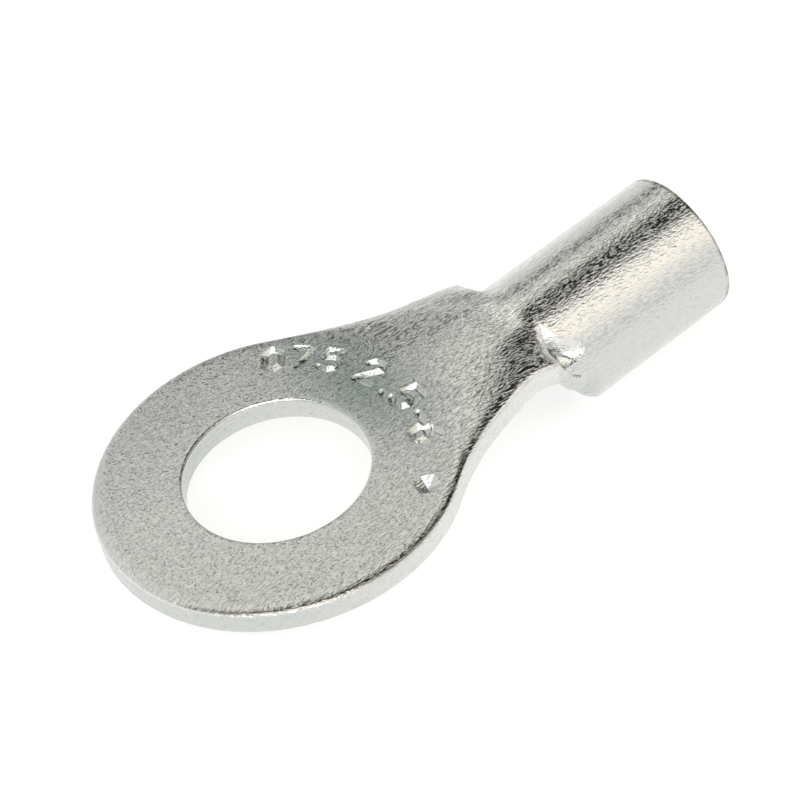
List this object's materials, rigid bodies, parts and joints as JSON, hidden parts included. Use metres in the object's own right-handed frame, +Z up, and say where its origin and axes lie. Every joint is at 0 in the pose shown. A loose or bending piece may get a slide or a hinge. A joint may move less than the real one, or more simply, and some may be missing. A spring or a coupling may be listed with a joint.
{
  "type": "ring terminal",
  "caption": "Bare ring terminal: a flat ring with a stud hole, whose neck rolls up into an open-ended barrel that is crimped onto a wire.",
  "frame": {"origin": "Centre of the stud hole, on the lower face of the ring, which is tipped as the terminal lies on a table.", "axes": "+X from the stud hole towards the barrel's mouth, level; +Z up; +Y to the left when looking along +X. The ring's plane and the barrel's axis both rise 14.45 degrees towards +X."},
  "size_m": [0.0263, 0.0132, 0.007],
  "materials": {
    "tinned_copper": "satin tin plate over copper, with fine pits and short scratches"
  },
  "bodies": {
    "root": {"ring_terminal": "tinned_copper"}
  },
  "joints": []
}
